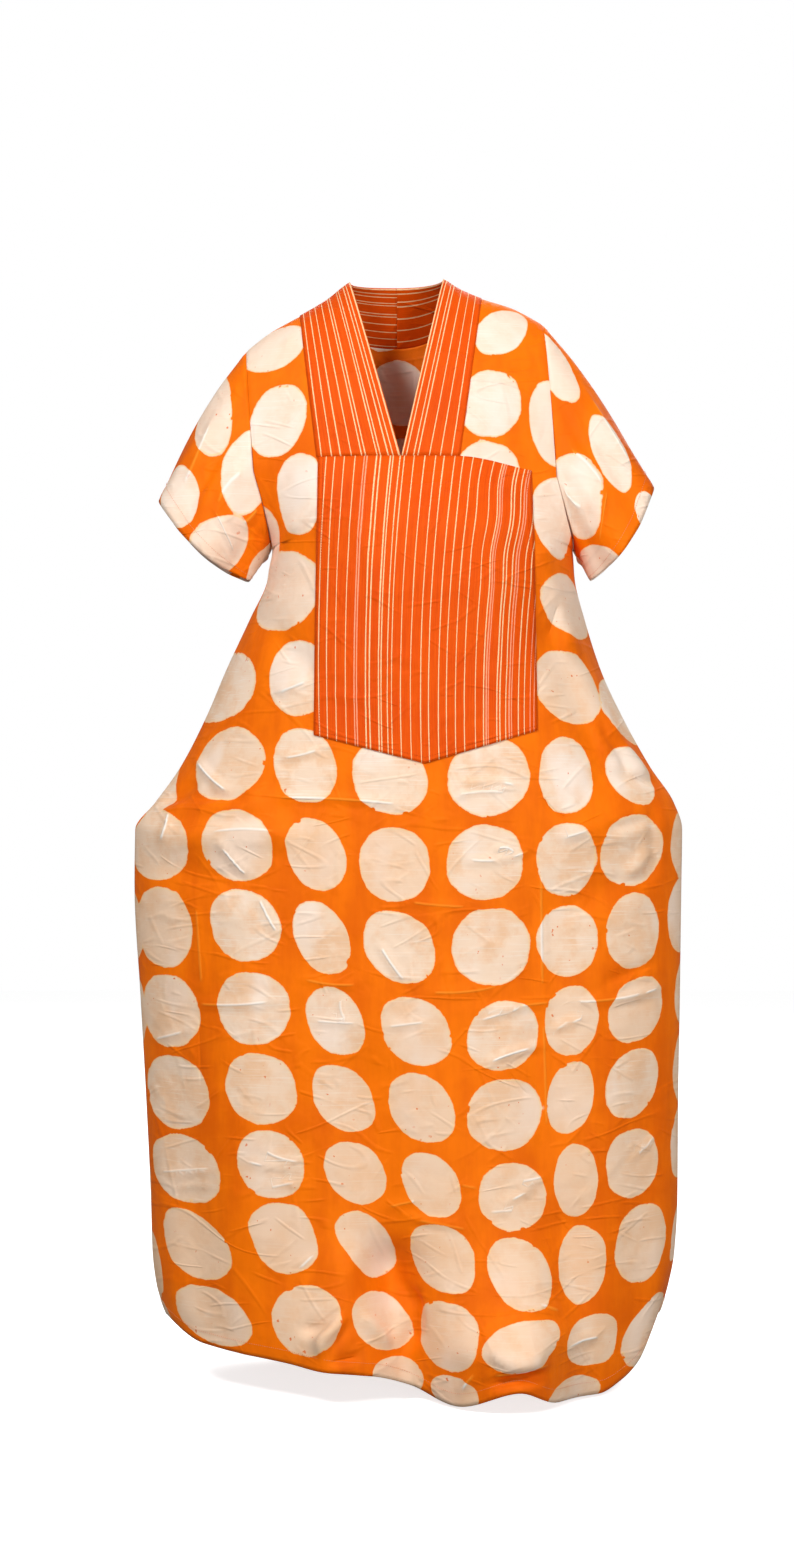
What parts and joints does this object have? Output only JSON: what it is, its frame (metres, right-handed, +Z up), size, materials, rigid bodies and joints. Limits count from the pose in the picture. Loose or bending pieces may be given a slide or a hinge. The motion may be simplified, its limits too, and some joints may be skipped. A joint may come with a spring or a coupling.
{
  "type": "kaftan dress",
  "caption": "Ankle-length kaftan dress in its worn, hollow shape, with short open sleeves, a striped V neckband, a striped bib with a pointed foot, and sides drawn out at the hips.",
  "frame": {"origin": "middle of the neck opening, at the height where the shoulders carry the dress", "axes": "+X to the wearer's left, +Y to the back, +Z up along the wearer's height; the front faces -Y"},
  "size_m": [0.7027, 0.3863, 1.406],
  "materials": {
    "front": "soft printed cotton with a slight sheen, large cream dots on orange",
    "back": "soft printed cotton with a slight sheen, large cream dots on orange",
    "sleeve_right": "soft printed cotton with a slight sheen, large cream dots on orange",
    "sleeve_left": "soft printed cotton with a slight sheen, large cream dots on orange",
    "bib": "hand-woven cotton, thin cream and pink stripes on orange",
    "neckband_right": "hand-woven cotton, thin cream and pink stripes on orange",
    "neckband_left": "hand-woven cotton, thin cream and pink stripes on orange"
  },
  "bodies": {
    "root": {"front": "front", "back": "back", "sleeve_right": "sleeve_right", "sleeve_left": "sleeve_left", "bib": "bib", "neckband_right": "neckband_right", "neckband_left": "neckband_left"}
  },
  "joints": []
}
